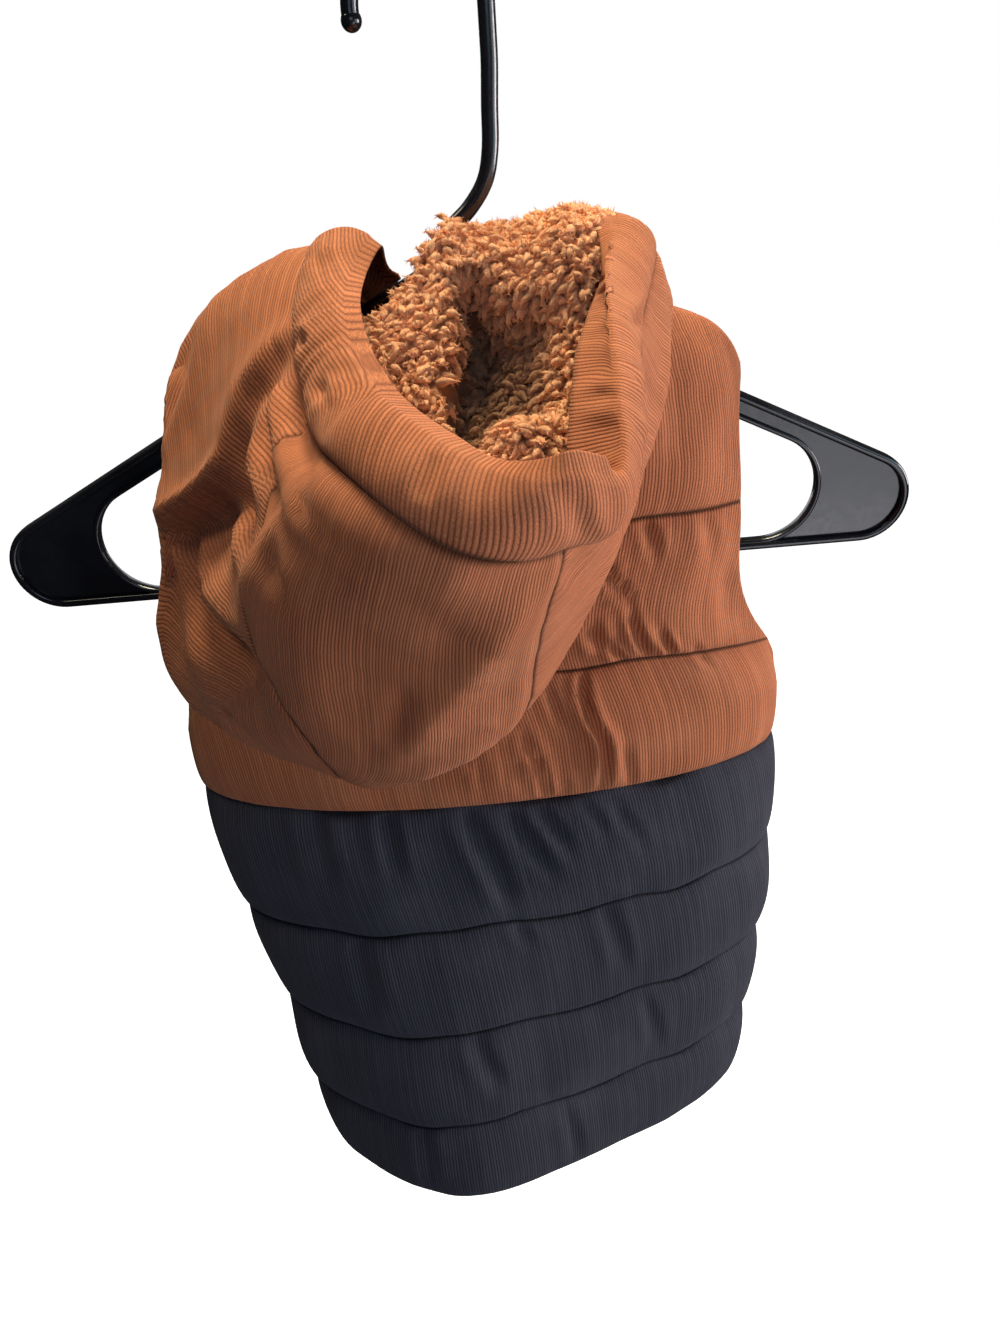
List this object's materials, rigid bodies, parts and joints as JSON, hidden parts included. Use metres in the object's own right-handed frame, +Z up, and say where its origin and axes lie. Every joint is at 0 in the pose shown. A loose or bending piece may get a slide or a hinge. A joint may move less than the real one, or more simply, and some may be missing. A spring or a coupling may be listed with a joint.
{
  "type": "child's hooded puffer vest on a clothes hanger",
  "caption": "Sleeveless quilted corduroy vest, rust over navy, its sherpa-lined hood fallen back, hung on a moulded hanger by a swan-necked hook.",
  "frame": {"origin": "the inside top of the hanger's hook, where a rail bears", "axes": "+Z up; the wearer would face -Y, so the back and the fallen hood are towards +Y; +X is the wearer's left"},
  "size_m": [0.4078, 0.2691, 0.5963],
  "materials": {
    "rust_corduroy": "fine-wale corduroy over wadding, matt with a soft nap",
    "navy_corduroy": "fine-wale corduroy over wadding, matt with a soft nap",
    "caramel_sherpa": "curled sherpa pile",
    "zip_tape": "woven tape with moulded teeth",
    "zip_metal": "dark lacquered die casting",
    "hanger_plastic": "glossy moulded black plastic"
  },
  "bodies": {
    "vest_on_hanger": {"back_lower": "navy_corduroy", "back_upper": "rust_corduroy", "front_left_lower": "navy_corduroy", "front_left_upper": "rust_corduroy", "front_right_lower": "navy_corduroy", "front_right_upper": "rust_corduroy", "hood_left": "rust_corduroy", "hood_centre": "rust_corduroy", "hood_right": "rust_corduroy", "hood_casing": "rust_corduroy", "hood_lining": "caramel_sherpa", "zip_tape_left": "zip_tape", "zip_tape_right": "zip_tape", "zip_slider": "zip_metal", "hanger": "hanger_plastic"},
    "zip_pull_tab": {"zip_pull": "zip_metal"}
  },
  "joints": [
    {"name": "zip_pull_hinge", "type": "hinge", "parent": "vest_on_hanger", "child": "zip_pull_tab", "pos_m": [-0.00153, -0.06291, -0.19959], "axis": [-1, 0, 0], "range_deg": [0, 150]}
  ]
}
